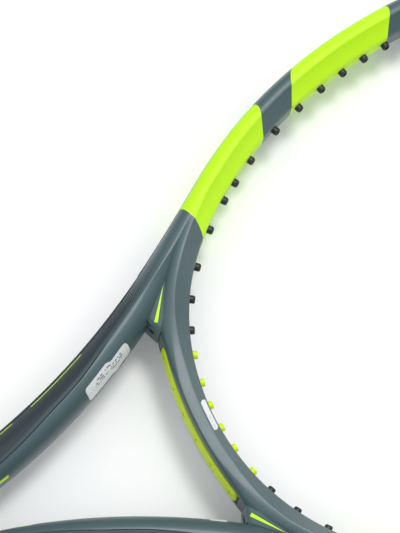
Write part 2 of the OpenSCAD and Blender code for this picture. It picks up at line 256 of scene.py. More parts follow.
def joined(meshes):
    b = bmesh.new()
    for m in meshes:
        b.from_mesh(m)
    out = bpy.data.meshes.new("m")
    b.to_mesh(out)
    b.free()
    return out


def store(mesh, **layers):
    """Values for each point of a mesh, for its material to read."""
    for name, values in layers.items():
        layer = mesh.attributes.new(name, "FLOAT", "POINT")
        layer.data.foreach_set("value", np.asarray(values, np.float32))


def solid(name, mesh):
    o = bpy.data.objects.new(name, mesh)
    bpy.context.scene.collection.objects.link(o)
    return o


def combined(base, *steps):
    """Union and difference of meshes: steps are ("UNION" or "DIFFERENCE", mesh)."""
    o = solid("work", base)
    tools = []
    for kind, m in steps:
        tool = solid("tool", m)
        tools.append(tool)
        mod = o.modifiers.new("b", "BOOLEAN")
        mod.operation, mod.solver, mod.object = kind, "MANIFOLD", tool
    got = bpy.data.meshes.new_from_object(o.evaluated_get(bpy.context.evaluated_depsgraph_get()))
    for x in [o, *tools]:
        bpy.data.objects.remove(x)
    if len(got.polygons) < 12:
        raise RuntimeError("an empty boolean result")
    return got


def finished(name, mesh, body, material, nodes, sharp=30):
    """One piece of the racket: shaded smooth with sharp edges by angle, and riding on its body."""
    mesh.name = name
    o = solid(name, mesh)
    for p in mesh.polygons:
        p.use_smooth = True
    mesh.set_sharp_from_angle(angle=math.radians(sharp))
    mod = o.modifiers.new("normals", "WEIGHTED_NORMAL")
    mod.keep_sharp, mod.weight = True, 50
    mesh.materials.clear()
    mesh.materials.append(material)
    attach(o, body)
    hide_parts(*nodes)


def lathe(profile, origin, axis, seg=32, slant=0.0):
    """A solid turned about an axis from (radius, height) pairs; slant tips the lower end over."""
    axis = unit(np.array([axis[0], axis[1], 0.0]))
    side = np.array([-axis[1], axis[0], 0.0])
    up = np.array([0, 0, 1.0])
    turn = np.radians(np.arange(seg) * 360 / seg)
    rings = []
    for r, h in profile:
        lift = slant * r * np.sin(turn) * (1 if h <= profile[0][1] + 1.2 else 0)
        round_axis = np.cos(turn)[:, None] * side + np.sin(turn)[:, None] * up
        rings.append(origin + (h + lift)[:, None] * axis + r * round_axis)
    return swept(np.array(rings))


def at_hole(t):
    p = oval(t)
    return np.array([p[0], p[1], 0.0]), outward(t)


def off_yoke(t):
    return abs((t + 270) % 360 - 180)


def yoke_in(t):
    return YOKE_STEP * (1 - ease((off_yoke(t) - 3) / 27))


def yoke_w_at(t):
    return np.minimum(HOOP_W, YOKE_W + 2.6 * (off_yoke(t) / 15) ** 2)


def cross_y(i):
    return 506.2 + 11.1 * i + (0.000173 * i**5 if i < 0 else 0.055 * i**3)


CROSS_T = [math.degrees(math.asin((cross_y(i) - HOOP_CY) / HOOP_RY)) for i in range(-10, 9)]
THROAT_T = [-math.degrees(math.acos(x / HOOP_RX)) for x in MAIN_X]
TIP_T = [-t for t in THROAT_T]
PLATE = HOOP_W - 0.7
# Holes as (turn, depth of the barrel), on the right half
SIDE_HOLES = [(t, PLATE) for t in CROSS_T if t < BUMPER_END] + list(zip(THROAT_T[4:], OUTER_DEPTH))
TIP_HOLES = [(t, PLATE) for t in CROSS_T if t >= BUMPER_END] + [(t, PLATE) for t in TIP_T]
YOKE_HOLES = [(t, float(yoke_w_at(t)) - 0.8) for t in THROAT_T[:3]]
CORNER_HOLES = [(THROAT_T[3], CORNER_DEPTH)]


def both(holes):
    return holes + [(180 - t, d) for t, d in holes]


def drills(holes, d, low=-8.0, high=40.0):
    return joined([lathe([(d / 2, low), (d / 2, high)], *at_hole(hole[0]), seg=28) for hole in holes])


def barrel_set(holes, shape, slant):
    """Barrels with "round" or "cut" tips; slant tips the cut end over."""
    made = []
    for t, depth in holes:
        out = BARREL_OUT + float(yoke_in(t))
        r = BARREL_D / 2
        if shape == "round":
            tip = [(r - 0.55, -out), (r - 0.25, -out + 0.08), (r - 0.07, -out + 0.28), (r, -out + 0.6)]
        else:
            tip = [(r - 0.42, -out), (r - 0.28, -out + 0.03), (r - 0.04, -out + 0.5), (r, -out + 0.62)]
        made.append(lathe([*tip, (r, -out + 1.6), (r, depth)], *at_hole(t), slant=slant))
    return joined(made)


# ---------------------------------------------------------------- materials
def linear(*rgb):
    """sRGB 0..255 to a linear colour."""
    c = np.array(rgb) / 255
    return (*np.where(c <= 0.04045, c / 12.92, ((c + 0.055) / 1.055) ** 2.4).tolist(), 1.0)


class Graph:
    """A procedural material, written as expressions."""

    def __init__(self, name):
        self.m = bpy.data.materials.new(name)
        self.m.use_nodes = True
        self.t = self.m.node_tree
        self.t.nodes.clear()
        out = self.t.nodes.new("ShaderNodeOutputMaterial")
        self.s = self.t.nodes.new("ShaderNodeBsdfPrincipled")
        self.t.links.new(self.s.outputs[0], out.inputs[0])
        at = self.t.nodes.new("ShaderNodeTexCoord").outputs["Object"]
        mm = self.node("ShaderNodeVectorMath", "SCALE")
        self.t.links.new(at, mm.inputs[0])
        mm.inputs["Scale"].default_value = 1000
        self.mm = mm.outputs[0]
        split = self.t.nodes.new("ShaderNodeSeparateXYZ")
        self.t.links.new(self.mm, split.inputs[0])
        self.x, self.y, self.z = split.outputs

    def node(self, kind, operation=None):
        n = self.t.nodes.new(kind)
        if operation:
            n.operation = operation
        return n

    def put(self, socket, value):
        if isinstance(value, bpy.types.NodeSocket):
            self.t.links.new(value, socket)
        else:
            socket.default_value = value

    def math(self, operation, *values):
        n = self.node("ShaderNodeMath", operation)
        for i, v in enumerate(values):
            self.put(n.inputs[i], v)
        return n.outputs[0]

    def add(self, *v):
        r = v[0]
        for w in v[1:]:
            r = self.math("ADD", r, w)
        return r

    def sub(self, a, b):
        return self.math("SUBTRACT", a, b)

    def mul(self, *v):
        r = v[0]
        for w in v[1:]:
            r = self.math("MULTIPLY", r, w)
        return r

    def most(self, *v):
        r = v[0]
        for w in v[1:]:
            r = self.math("MAXIMUM", r, w)
        return r

    def step(self, v, low, high):
        """0 below low and 1 above high, with a smooth change between; low may be the greater."""
        n = self.node("ShaderNodeMapRange")
        n.interpolation_type = "SMOOTHSTEP"
        n.clamp = True
        flip = low > high
        self.put(n.inputs["Value"], v)
        self.put(n.inputs["From Min"], high if flip else low)
        self.put(n.inputs["From Max"], low if flip else high)
        self.put(n.inputs["To Min"], 1.0 if flip else 0.0)
        self.put(n.inputs["To Max"], 0.0 if flip else 1.0)
        return n.outputs[0]

    def above(self, v, edge, soft=0.12):
        return self.step(self.sub(v, edge), -soft, soft)

    def attribute(self, name):
        n = self.node("ShaderNodeAttribute")
        n.attribute_name = name
        return n.outputs["Fac"]

    def noise(self, scale, detail=3.0, rough=0.55, at=None):
        n = self.node("ShaderNodeTexNoise")
        self.t.links.new(at or self.mm, n.inputs["Vector"])
        n.inputs["Scale"].default_value = scale
        n.inputs["Detail"].default_value = detail
        n.inputs["Roughness"].default_value = rough
        return n.outputs["Fac"]

    def vector(self, x, y, z=0.0):
        n = self.node("ShaderNodeCombineXYZ")
        for i, v in enumerate((x, y, z)):
            self.put(n.inputs[i], v)
        return n.outputs[0]

    def dots(self, x, y, pitch):
        """Distance from the nearest dot of a grid turned by 45 degrees, in pitches."""
        n = self.node("ShaderNodeTexVoronoi")
        n.voronoi_dimensions = "2D"
        n.inputs["Randomness"].default_value = 0.0
        n.inputs["Scale"].default_value = 1.0
        k = 0.7071 / pitch
        self.put(n.inputs["Vector"], self.vector(self.mul(self.add(x, y), k), self.mul(self.sub(x, y), k)))
        return n.outputs["Distance"]

    def mix(self, a, b, f):
        n = self.node("ShaderNodeMix")
        n.data_type = "RGBA"
        n.clamp_factor = True
        self.put(n.inputs["Factor"], f)
        self.put(n.inputs[6], a)
        self.put(n.inputs[7], b)
        return n.outputs[2]

    def bump(self, height, strength, distance):
        n = self.node("ShaderNodeBump")
        n.inputs["Strength"].default_value = strength
        n.inputs["Distance"].default_value = distance
        self.put(n.inputs["Height"], height)
        return n.outputs[0]

    def finish(self, colour, rough, normal=None, **uniform):
        self.put(self.s.inputs["Base Color"], colour)
        self.put(self.s.inputs["Roughness"], rough)
        if normal is not None:
            self.put(self.s.inputs["Normal"], normal)
        for k, v in uniform.items():
            self.s.inputs[k.replace("_", " ")].default_value = v
        return self.m


def plain_plastic(name, rgb, rough, grain=2.2, depth=0.02, **uniform):
    """Moulded plastic: a fine grain, slow colour variation, scuffs on the roughness."""
    g = Graph(name)
    slow, fine, scuff = g.noise(0.05, 4), g.noise(grain, 3), g.noise(0.6, 6, 0.7)
    dark = tuple(c * 0.78 for c in linear(*rgb)[:3]) + (1.0,)
    light = tuple(min(1, c * 1.22) for c in linear(*rgb)[:3]) + (1.0,)
    colour = g.mix(dark, light, g.add(g.mul(slow, 0.7), g.mul(scuff, 0.3)))
    r = g.add(rough - 0.08, g.mul(scuff, 0.16))
    return g.finish(colour, r, g.bump(fine, 0.35, depth * 0.001), **uniform)


SLATE_LOW, SLATE_HIGH = (66, 86, 89), (78, 100, 103)
LIME_LOW, LIME_HIGH = (184, 240, 0), (200, 252, 0)
GRAPHITE_LOW, GRAPHITE_HIGH = (28, 41, 45), (42, 55, 60)
# The first colour is painted shade along the crease groove; the second is the colour of wear scratches
CREASE_SHADE, SCRATCH_LIGHT = (38, 50, 52), (150, 160, 160)
PAINT_ROUGH, PAINT_SPEC = 0.36, 0.38
# Each lime band's two ends: the turn at the tube's inner side, and how far on the slant is at its outer side
BAND_SLANT = 3.3
LOW_BAND, HIGH_BAND = ((-52.9, 1.0), (-34.8, BAND_SLANT)), ((-28.1, BAND_SLANT), (-9.5, 2.4))
# The lime stroke on each facet: its lower end, direction and length, and how fast it grows towards that end
STROKE_FOOT, STROKE_WAY, STROKE_LONG, STROKE_TAPER = (43.3, 327.4), (0.811, 0.585), 16.2, 0.045
# The halftone fade of the graphite: where it begins, over what distance it fills, and its dots
FADE_TOP, FADE_LONG, FADE_PITCH, WEAVE_PITCH = 348.0, 38, 0.8, 0.62
SHAFT_LONG = 240.0
# The line of teeth along the outer edge: its height over the middle plane, its pitch and its two runs
TEETH_Z, TOOTH_PITCH = 5.4, 0.85
TEETH_RUNS = (0.48, 0.605), (0.645, 0.735)


def frame_paint():
    g = Graph("frame_paint")
    turn, across, bez = g.attribute("turn"), g.attribute("across"), g.attribute("bez")
    ridge, deep = g.attribute("ridge"), g.attribute("crease")
    side, height = g.math("ABSOLUTE", g.x), g.math("ABSOLUTE", g.z)
    slow, fleck, orange = g.noise(0.02, 3), g.noise(6.5, 2, 0.6), g.noise(0.9, 2)
    wear = g.noise(0.35, 7, 0.72)
    slate = g.mix(linear(*SLATE_LOW), linear(*SLATE_HIGH), g.add(g.mul(slow, 0.55), g.mul(fleck, 0.45)))

    # The two lime bands of each side run across the tube on a slant, with their outer corners rounded
    v = g.mul(g.add(across, HOOP_W / 2), 1 / HOOP_W)
    corner = g.math("POWER", g.math("MAXIMUM", g.sub(v, 0.62), 0.0), 2.0)
    tail = g.math("POWER", g.math("MAXIMUM", g.sub(0.3, v), 0.0), 2.0)

    def band_end(end, rounding, amount):
        at, slant = end
        return g.add(g.mul(v, slant), at, g.mul(rounding, amount))

    low_band = g.mul(g.above(turn, band_end(LOW_BAND[0], tail, -2.5), 0.05),
                     g.above(band_end(LOW_BAND[1], corner, -6.0), turn, 0.05))
    high_band = g.mul(g.above(turn, band_end(HIGH_BAND[0], corner, 6.0), 0.05),
                      g.above(band_end(HIGH_BAND[1], corner, -6.0), turn, 0.05))
    on_hoop = g.above(across, -8.5, 0.05)
    lime_mask = g.mul(on_hoop, g.most(low_band, high_band))
    # Painted light: the lime is made lighter towards the tube's inner side, where the lamps leave the inner
    # slope darker; a little random fleck is mixed in
    inner_light_and_fleck = g.add(g.mul(g.step(v, 0.55, 0.1), 0.8), g.mul(fleck, 0.2))
    lime = g.mix(linear(*LIME_LOW), linear(*LIME_HIGH), inner_light_and_fleck)
    colour = g.mix(slate, lime, lime_mask)

    # A tapering lime stroke on each facet of the throat
    dx, dy = g.sub(side, STROKE_FOOT[0]), g.sub(g.y, STROKE_FOOT[1])
    run = g.add(g.mul(dx, STROKE_WAY[0]), g.mul(dy, STROKE_WAY[1]))
    off = g.math("ABSOLUTE", g.add(g.mul(dx, -STROKE_WAY[1]), g.mul(dy, STROKE_WAY[0])))
    reach = g.mul(g.sub(STROKE_LONG, run), STROKE_TAPER)
    stroke = g.mul(g.above(reach, off, 0.08), g.above(run, 0.3, 0.1), g.above(height, 7.0))
    colour = g.mix(colour, linear(*LIME_HIGH), stroke)

    # Graphite on the outer half of each shaft, with a halftone fade at its top and a fine weave of dots in it
    along = g.mul(bez, SHAFT_LONG)
    fade = g.mul(g.sub(FADE_TOP, g.y), 1 / FADE_LONG)
    half_tone = g.above(g.mul(fade, 0.75), g.dots(along, across, FADE_PITCH), 0.05)
    graphite_mask = g.mul(g.above(ridge, 0.25, 0.08), half_tone, g.above(bez, 0.02, 0.01))
    weave = g.step(g.dots(along, across, WEAVE_PITCH), 0.22, 0.34)
    grey = g.add(g.mul(weave, 0.6), g.mul(fleck, 0.4))
    graphite = g.mix(linear(*GRAPHITE_LOW), linear(*GRAPHITE_HIGH), grey)
    # Painted highlight: within 1.5 mm of the crest the graphite is made lighter, part way to slate
    graphite = g.mix(graphite, slate, g.mul(g.above(1.5, ridge, 0.4), 0.45))
    colour = g.mix(colour, graphite, graphite_mask)
    # Painted shade: a dark line laid along the crease groove, where its shadow falls
    colour = g.mix(colour, linear(*CREASE_SHADE), g.mul(deep, 0.75))

    # A thin line with teeth along the outer edge of each shaft, and a short mark on its throat side
    tooth = g.math("FRACT", g.mul(along, 1 / TOOTH_PITCH))
    tall = g.add(g.mul(tooth, 0.9), 0.35)
    from_line = g.sub(height, TEETH_Z)
    runs = g.most(*[g.mul(g.above(bez, low, 0.002), g.above(high, bez, 0.002)) for low, high in TEETH_RUNS])
    teeth = g.mul(g.above(tall, from_line, 0.05), g.above(from_line, 0.0, 0.05), g.above(across, 4.5), runs)
    mark = g.mul(g.above(bez, 0.700, 0.001), g.above(0.716, bez, 0.001), g.above(-5.6, across, 0.1),
                 g.above(1.1, g.math("ABSOLUTE", g.sub(height, 4.6)), 0.1))
    colour = g.mix(colour, linear(*LIME_HIGH), g.most(teeth, mark))

    # Faint wear, and the film thickness of the lime and the weave
    scratch = g.mul(g.step(wear, 0.66, 0.72), 0.35)
    colour = g.mix(colour, linear(*SCRATCH_LIGHT), g.mul(scratch, 0.25))
    rough = g.add(PAINT_ROUGH - 0.05, g.mul(wear, 0.08), g.mul(graphite_mask, 0.26), g.mul(lime_mask, 0.16))
    relief = g.add(g.mul(orange, 0.5), g.mul(fleck, 0.12), g.mul(g.most(lime_mask, stroke, teeth), 0.9),
                   g.mul(graphite_mask, weave, 0.7))
    return g.finish(colour, rough, g.bump(relief, 0.5, 0.00006), Specular_IOR_Level=PAINT_SPEC)


paint = frame_paint()
black = plain_plastic("black_nylon", (34, 42, 44), 0.42, grain=1.6, Specular_IOR_Level=0.45)
lime_nylon = plain_plastic("lime_nylon", (214, 255, 8), 0.46, grain=1.6, Specular_IOR_Level=0.3)
cap_plastic = plain_plastic("butt_plastic", (36, 38, 40), 0.48, grain=2.4, depth=0.05)
door_plastic = plain_plastic("door_plastic", (98, 112, 116), 0.30, grain=1.2, depth=0.01, Coat_Weight=0.2)
foam = plain_plastic("pallet_foam", (88, 88, 86), 0.75, grain=0.9, depth=0.25)
silicone = plain_plastic("silicone", (186, 188, 184), 0.40, grain=0.7, depth=0.03, Transmission_Weight=0.15)
collar_rubber = plain_plastic("collar_rubber", (30, 30, 31), 0.62, grain=3.0, depth=0.04)


def steel_wire():
    g = Graph("steel")
    lines = g.noise(3.0, 4, 0.6, g.vector(g.mul(g.x, 0.15), g.mul(g.y, 4.0), g.mul(g.z, 0.15)))
    colour = g.mix(linear(150, 152, 154), linear(196, 198, 200), lines)
    return g.finish(colour, g.add(0.22, g.mul(lines, 0.18)), g.bump(lines, 0.3, 0.00001), Metallic=1.0)


FOIL_ROW = 1.05


def foil():
    """Satin silver film with generic blocks, marks and a line; label_u runs along it, label_v across."""
    g = Graph("label_foil")
    u, v, kind = g.attribute("label_u"), g.attribute("label_v"), g.attribute("label_kind")
    brushed = g.noise(2.2, 4, 0.6, g.vector(g.mul(u, 0.25), g.mul(v, 3.0)))
    silver = g.mix(linear(224, 227, 233), linear(240, 243, 248), brushed)
    rows = g.mul(v, 1 / FOIL_ROW)
    row = g.math("FRACT", rows)
    on_row = g.mul(g.above(row, 0.22, 0.05), g.above(0.78, row, 0.05))
    own_row = g.vector(g.mul(u, 1.15), g.mul(g.math("FLOOR", rows), 7.3))
    blocks = g.above(g.noise(1.0, 0, 0, own_row), 0.49, 0.02)
    margin = g.mul(g.above(v, 1.0, 0.05), g.above(4.3, v, 0.05),
                   g.above(u, 4.2, 0.05), g.above(g.attribute("label_long"), g.add(u, 5.0), 0.05))
    ink = g.mul(on_row, blocks, margin, g.above(0.5, kind, 0.1))
    stroke = g.mul(g.above(v, 0.75, 0.03), g.above(1.05, v, 0.03), g.above(kind, 1.5, 0.1))
    speckle = g.noise(2.6, 0, 0, g.vector(g.mul(u, 1.3), 3.0))
    marks = g.mul(g.above(speckle, 0.5, 0.02), g.above(v, 1.5, 0.05), g.above(2.3, v, 0.05),
                  g.above(kind, 1.5, 0.1), g.above(u, 1.2, 0.05), g.above(6.8, u, 0.05))
    colour = g.mix(silver, linear(62, 68, 74), g.mul(ink, 0.85))
    colour = g.mix(colour, linear(120, 126, 138), g.mul(marks, 0.7))
    colour = g.mix(colour, linear(246, 248, 250), stroke)
    relief = g.bump(g.add(brushed, g.mul(ink, 2.0)), 0.25, 0.00002)
    return g.finish(colour, g.add(0.30, g.mul(brushed, 0.12)), relief, Metallic=0.1)


def wrap_cover():
    """The wrapped grip: a soft leathery grain, perforations in rows along the wrap, darker in its seams."""
    g = Graph("grip_cover")
    s, w = g.attribute("wrap_s"), g.attribute("wrap_w")
    grain, slow, wear = g.noise(2.6, 4, 0.65), g.noise(0.05, 4), g.noise(0.5, 6, 0.7)
    hole = g.step(g.dots(s, w, 3.1), 0.16, 0.12)
    seam = g.mul(g.above(0.9, w, 0.5), g.above(w, -0.5, 0.2))
    colour = g.mix(linear(26, 26, 28), linear(46, 46, 48), g.add(g.mul(slow, 0.5), g.mul(wear, 0.5)))
    colour = g.mix(colour, linear(8, 8, 9), g.most(hole, g.mul(seam, 0.6)))
    height = g.add(g.mul(grain, 0.35), g.mul(hole, -1.6))
    return g.finish(colour, g.add(0.52, g.mul(wear, 0.18)), g.bump(height, 0.6, 0.00025), Sheen_Weight=0.15,
                    Sheen_Roughness=0.5)


def tape_vinyl():
    g = Graph("tape")
    stripe = g.math("FRACT", g.mul(g.add(g.y, g.mul(g.x, 0.08)), 1 / 4.0))
    band = g.mul(g.above(stripe, 0.42, 0.02), g.above(0.58, stripe, 0.02))
    fine, slow = g.noise(1.6, 4), g.noise(0.08, 4)
    colour = g.mix(linear(30, 31, 34), linear(44, 46, 50), slow)
    colour = g.mix(colour, linear(96, 100, 106), g.mul(band, 0.8))
    return g.finish(colour, g.add(0.24, g.mul(fine, 0.14)), g.bump(fine, 0.3, 0.00002), Coat_Weight=0.2)


def floor_paper():
    g = Graph("floor_paper")
    fibre = g.noise(0.9, 5, 0.6)
    colour = g.mix((0.90, 0.905, 0.91, 1), (0.93, 0.935, 0.94, 1), fibre)
    return g.finish(colour, g.add(0.80, g.mul(fibre, 0.1)), g.bump(fibre, 0.1, 0.00002),
                    Specular_IOR_Level=0.1)


steel, label_film, grip_cover, tape_mat = steel_wire(), foil(), wrap_cover(), tape_vinyl()


# ---------------------------------------------------------------- the frame
def both_sides(s):
    r = tube_rings(s)
    return np.concatenate([mirror_x(r[:0:-1]), r])


def yoke_stations(t):
    t = np.asarray(t, float)
    off, inset = off_yoke(t), yoke_in(t)
    w = mix(yoke_w_at(t), 12.1, ease((off - 13) / 8))
    s = object.__new__(Stations)
    s.n, s.out, s.off = len(t), outward(t), off
    s.mid = oval(t) + s.out * ((w - inset) / 2)[:, None]
    s.a = (w + inset) / 2
    s.b = mix(9.5, 12.95, ease((off - 12) / 19)) - 0.25 * ease((off - 34) / 6)
    # Where the crest's inner edge lies, out from the hoop's oval
    edge = np.interp(off, [0, 4, 10, 15, 20, 24, 28, 45], [2.6, 2.75, 3.3, 4.45, 5.8, 6.5, 6.4, 6.0])
    s.crest = edge - (w - inset) / 2
    return s


def yoke_upper(s):
    """The upper half of the yoke's outline, from the throat side over the crest to the inner side."""
    a, b, uc, off = s.a[:, None], s.b[:, None], s.crest[:, None], s.off[:, None]
    peak = np.minimum(uc + mix(4.3, 1.0, ease((off - 6) / 16)), 0.84 * a)
    phi = np.radians(np.linspace(0, 90, 11))[None, 1:]
    outer = [mix(peak, a, np.cos(phi) ** 0.85), 5.4 + (b - 5.4) * np.sin(phi) ** 0.85]
    land = [mix(peak, uc, np.array([[0.35, 0.7, 0.94]])), b * np.array([[1.0, 0.997, 0.990]])]
    f, far = np.linspace(0, 1, 9)[None], ease((off - 18) / 14)
    slope = [mix(uc, -mix(0.95, 0.915, far) * a, f), mix(0.985 * b, mix(0.42, 0.385, far) * b, f)]
    skirt = 1 - 0.02 * far
    low = [-a * np.concatenate([mix(0.985, 0.96, far), skirt, skirt], 1), b * np.array([[0.3, 0.17, 0]])]
    return (np.concatenate([outer[0], land[0], slope[0], low[0]], 1),
            np.concatenate([outer[1], land[1], slope[1], low[1]], 1))


def yoke_rings():
    """The bridge, from one end of its run along the oval to the other, with the strip's seat cut into it."""
    s = yoke_stations(np.arange(-90 + YOKE_END, -90 - YOKE_END - 1e-6, -0.5))
    u, z = yoke_upper(s)
    a, seat = s.a[:, None], ease((15.4 - s.off) / 0.8)[:, None]
    u = np.concatenate([a - 1.2 * seat, a - 1.2 * seat, a - 0.25 * seat, a + 0 * seat, u], 1)
    z = np.concatenate([np.array([[0, 4.95, 5.05, 5.4]]) + 0 * a, z], 1)
    u, z = np.concatenate([u, u[:, -2:0:-1]], 1), np.concatenate([z, -z[:, -2:0:-1]], 1)
    return place(s, u, z)


def tilted_prism(outline, base, slope, chamfer):
    """A prism whose two faces tilt up along +Y, z = base + slope (y - PRISM_Y), with its edges chamfered."""
    p = np.array(outline, float)
    area = 0.5 * np.sum(p[:, 0] * np.roll(p[:, 1], -1) - np.roll(p[:, 0], -1) * p[:, 1])
    if area < 0:
        p = p[::-1]
    top = base + slope * (p[:, 1] - PRISM_Y)
    e = unit(np.roll(p, -1, 0) - p)
    n1 = np.stack([e[:, 1], -e[:, 0]], -1)
    n = unit(n1 + np.roll(n1, 1, 0))
    inner = p - n * (chamfer / np.maximum(0.5, np.sum(n * n1, -1)))[:, None]
    drop = chamfer * 0.9
    rings = [(inner, -top), (p, -top + drop), (p, top - drop), (inner, top)]
    return swept(np.array([np.concatenate([q, z[:, None]], 1) for q, z in rings]))


# The raised facet of each corner of the throat and the web under it, on the right half
PRISM_Y = 326.5
FACET = [(47.4, 325.4), (52.7, 330.6), (62.7, 342.8), (67.6, 350.6), (66.2, 351.2), (58.8, 344.4),
         (47.6, 335.5), (40.0, 329.4), (39.3, 327.6), (45.2, 325.2)]
WEB = [(38.6, 333.2), (42.9, 335.3), (53.4, 341.3), (65.1, 349.9), (68, 352.5), (70, 352), (63.5, 341),
       (54, 329), (49.2, 325.6), (45.3, 326.9), (39.8, 329.2), (37.5, 329.7)]


def frame_shell():
    s = Stations()
    steps = [("UNION", swept(yoke_rings()))]
    for flip in (1, -1):
        for shape, base, slope, chamfer in ((WEB, 6.3, 0.17, 0.9), (FACET, 8.5, 0.155, 1.3)):
            steps.append(("UNION", tilted_prism([(flip * x, y) for x, y in shape], base, slope, chamfer)))
    tube = combined(swept(both_sides(s)), *steps)
    holes = both(SIDE_HOLES + TIP_HOLES + YOKE_HOLES + CORNER_HOLES)
    m = combined(tube, ("DIFFERENCE", drills(holes, BARREL_D + 0.24, low=-6, high=36)))
    # What the paint is laid out by: the turn along the tube, how far across it, and the crease
    n = len(m.vertices)
    co = np.empty(n * 3)
    m.vertices.foreach_get("co", co)
    co = co.reshape(-1, 3) * 1000
    xy = np.stack([abs(co[:, 0]), co[:, 1]], -1)
    near = np.empty(n, int)
    for i in range(0, n, 4000):
        near[i:i + 4000] = np.argmin(((xy[i:i + 4000, None] - s.mid[None]) ** 2).sum(-1), 1)
    gap = xy - s.mid[near]
    across = (gap * s.out[near]).sum(-1)
    along = np.stack([s.out[:, 1], -s.out[:, 0]], -1)
    lean = (gap * along[near]).sum(-1)
    after = np.where(lean > 0, np.minimum(near + 1, s.n - 1), np.maximum(near - 1, 0))
    length = np.maximum(1e-6, np.linalg.norm(s.mid[after] - s.mid[near], axis=-1))
    f = np.clip(abs(lean) / length, 0, 0.5)
    turn = mix(s.turn[near], s.turn[after], f)
    ridge = across - s.crest[near]
    crease = s.crease[near] * np.clip(1 - abs(ridge) / 0.3, 0, 1) * (abs(co[:, 2]) > 6)
    bez = np.clip((OVAL_END - turn) / SHAFT_TURN, 0, 1)
    store(m, turn=turn, across=across, bez=bez, crease=crease, ridge=ridge)
    return m


finished("frame_shell", frame_shell(), "frame", paint, ("hairpin_tube", "throat_yoke"),
         sharp=24)


# ---------------------------------------------------------------- grommets and bumper
def strip_piece(holes, rings, shape, slant):
    return combined(swept(rings), ("UNION", barrel_set(holes, shape, slant)),
                    ("DIFFERENCE", drills(holes, HOLE_D)))


def side_strip():
    s = Stations()
    t_end = OVAL_END - 60 * 4 / 14
    s = s.take((s.turn <= 90 - 3 * ((90 - BUMPER_END) / 3 + 1) + 0.01) & (s.turn >= t_end - 0.3))
    a, h = s.a[:, None], CHANNEL_H - 0.25
    proud = 0.45 * ease((-25 - s.turn) / 10)[:, None] * np.array([[1, 1, 1, 1, 1, 1, 0, 0]])
    u = a + proud + np.array([[-0.45, -0.2, -0.12, -0.12, -0.2, -0.45, -CHANNEL_D + 0.08, -CHANNEL_D + 0.08]])
    z = np.array([[-h, -h + 0.18, -h + 0.5, h - 0.5, h - 0.18, h, h, -h]]) + 0 * a
    return strip_piece(SIDE_HOLES, place(s, u, z), "cut", 0.16)


def bumper():
    s = Stations()
    s = s.take(s.turn >= BUMPER_END - 0.01)
    a, b = s.a[:, None], s.b[:, None]
    deg = np.radians(np.linspace(-62, 62, 25))[None]
    grow = ease((90 - s.turn) / 54)[:, None]
    outer_u = 0.90 * a + 1.0 + (0.1 * a + BUMPER_T - 1.0) * np.clip(np.cos(deg * 1.42), 0, 1) ** 0.5
    outer_z = (0.60 * b + 0.6) * np.sin(deg) / math.sin(math.radians(62)) * mix(1.0, 0.86, grow)
    rib = np.minimum(0.35, 0.35 * ease((4.2 - abs(outer_z)) / 0.6))
    outer_u = outer_u - rib * 0.6
    inner_u = np.concatenate([0.90 * a + 0.12, a + 0.06, a - CHANNEL_D + 0.08, a - CHANNEL_D + 0.08, a + 0.06,
                              0.90 * a + 0.12], 1)
    inner_z = np.concatenate([outer_z[:, -1:] - 0.4, 0 * a + 4.0, 0 * a + 3.4, 0 * a - 3.4, 0 * a - 4.0,
                              outer_z[:, :1] + 0.4], 1)
    r = place(s, np.concatenate([outer_u, inner_u], 1), np.concatenate([outer_z, inner_z], 1))
    rings = np.concatenate([mirror_x(r[:0:-1]), r])
    return strip_piece(both(TIP_HOLES), rings, "cut", 0.16)


def throat_strip():
    end = 14.7
    rounding = 0.9 * (1 - np.cos(np.radians(np.arange(15, 91, 15))))
    t = np.concatenate([[end], end - rounding, np.arange(13, -13.1, -1), -end + rounding[::-1], [-end]]) - 90
    off = off_yoke(t)
    w, inset = yoke_w_at(t), yoke_in(t)
    s = object.__new__(Stations)
    s.n, s.out, s.a = len(t), outward(t), (w + inset) / 2
    s.mid = oval(t) + s.out * ((w - inset) / 2)[:, None]
    # The ends of the strip are rounded, seen from the throat
    close = np.clip((end - off) / 0.9, 0, 1)
    arc = np.sqrt(1 - (1 - close) ** 2)[:, None]
    a, tall = s.a[:, None], mix(1.6, 4.55, arc)
    top = a + mix(0.3, 0.7, arc)
    edge = [a - 1.12, top - 0.75, top - 0.25, top - 0.04, top]
    u = np.concatenate(edge + edge[::-1], 1)
    z = tall * np.array([[-1, -1, -0.93, -0.8, -0.55, 0.55, 0.8, 0.93, 1, 1]])
    return strip_piece(both(YOKE_HOLES), place(s, u, z), "round", 0.1)


def flipped(m):
    m = m.copy()
    m.transform(Matrix.Scale(-1, 4, (1, 0, 0)))
    m.flip_normals()
    return m


right_strip = side_strip()
finished("right_strip", right_strip, "frame", black, ("right_grommet_strip",))
finished("left_strip", flipped(right_strip), "frame", black, ("left_grommet_strip",))
finished("tip_guard", bumper(), "frame", black, ("bumper_guard",))
finished("throat_strip", throat_strip(), "frame", lime_nylon, ("throat_grommet_strip",))
right_corner = combined(barrel_set(CORNER_HOLES, "cut", 0.16), ("DIFFERENCE", drills(CORNER_HOLES, HOLE_D)))
finished("right_corner", right_corner, "frame", black, ("right_corner_grommet",))
finished("left_corner", flipped(right_corner), "frame", black, ("left_corner_grommet",))


# ---------------------------------------------------------------- the handle
def octagon(x, z, soft=1.6, per=5):
    """The handle's outline with softened corners, as points (x, z)."""
    k = 0.45 * z
    c = [(x, -z + k), (x, z - k), (x - k, z), (-x + k, z),
         (-x, z - k), (-x, -z + k), (-x + k, -z), (x - k, -z)]
    pts = []
    for i, p in enumerate(c):
        p, q, r = np.array(p), np.array(c[i - 1]), np.array(c[(i + 1) % 8])
        a, b = p + unit(q - p) * soft, p + unit(r - p) * soft
        for f in np.linspace(0, 1, per):
            pts.append((1 - f) ** 2 * a + 2 * f * (1 - f) * p + f * f * b)
    return np.array(pts)


def level(x, z, y, **kw):
    o = octagon(x, z, **kw)
    return np.stack([o[:, 0], np.full(len(o), y), o[:, 1]], -1)


